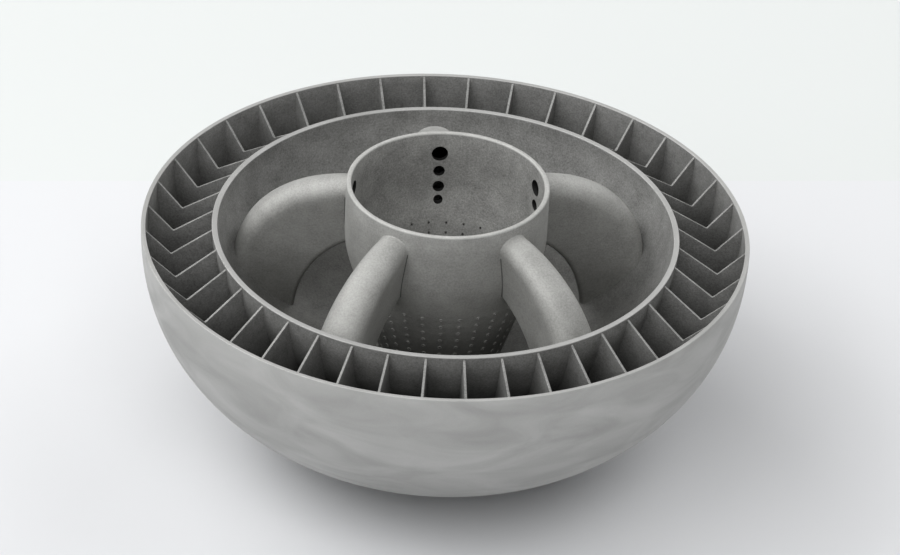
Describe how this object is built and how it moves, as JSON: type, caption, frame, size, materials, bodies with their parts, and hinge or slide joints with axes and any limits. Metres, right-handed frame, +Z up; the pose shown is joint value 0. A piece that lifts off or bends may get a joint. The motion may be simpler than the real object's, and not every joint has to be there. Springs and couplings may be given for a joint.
{
  "type": "finned combustor bowl",
  "caption": "Double-walled round bowl of sintered metal with thin radial fins between its walls and a perforated tube in the middle, held by hollow arching arms.",
  "frame": {"origin": "middle of the flat foot under the outer shell, on the axis of the bowl", "axes": "+Z up along the axis towards the open rim, +Y along one arm, X completes the right-handed frame"},
  "size_m": [0.2, 0.2, 0.0939],
  "materials": {
    "sintered_metal": "matt, finely grained as left by powder-bed melting and blasting"
  },
  "bodies": {
    "root": {"outer_shell": "sintered_metal", "inner_bowl": "sintered_metal", "fin_01": "sintered_metal", "fin_02": "sintered_metal", "fin_03": "sintered_metal", "fin_04": "sintered_metal", "fin_05": "sintered_metal", "fin_06": "sintered_metal", "fin_07": "sintered_metal", "fin_08": "sintered_metal", "fin_09": "sintered_metal", "fin_10": "sintered_metal", "fin_11": "sintered_metal", "fin_12": "sintered_metal", "fin_13": "sintered_metal", "fin_14": "sintered_metal", "fin_15": "sintered_metal", "fin_16": "sintered_metal", "fin_17": "sintered_metal", "fin_18": "sintered_metal", "fin_19": "sintered_metal", "fin_20": "sintered_metal", "fin_21": "sintered_metal", "fin_22": "sintered_metal", "fin_23": "sintered_metal", "fin_24": "sintered_metal", "fin_25": "sintered_metal", "fin_26": "sintered_metal", "fin_27": "sintered_metal", "fin_28": "sintered_metal", "fin_29": "sintered_metal", "fin_30": "sintered_metal", "fin_31": "sintered_metal", "fin_32": "sintered_metal", "fin_33": "sintered_metal", "fin_34": "sintered_metal", "fin_35": "sintered_metal", "fin_36": "sintered_metal", "fin_37": "sintered_metal", "fin_38": "sintered_metal", "fin_39": "sintered_metal", "fin_40": "sintered_metal", "neck_tube": "sintered_metal", "perforated_cone": "sintered_metal", "arm_1": "sintered_metal", "arm_2": "sintered_metal", "arm_3": "sintered_metal", "arm_4": "sintered_metal", "arm_5": "sintered_metal"}
  },
  "joints": []
}
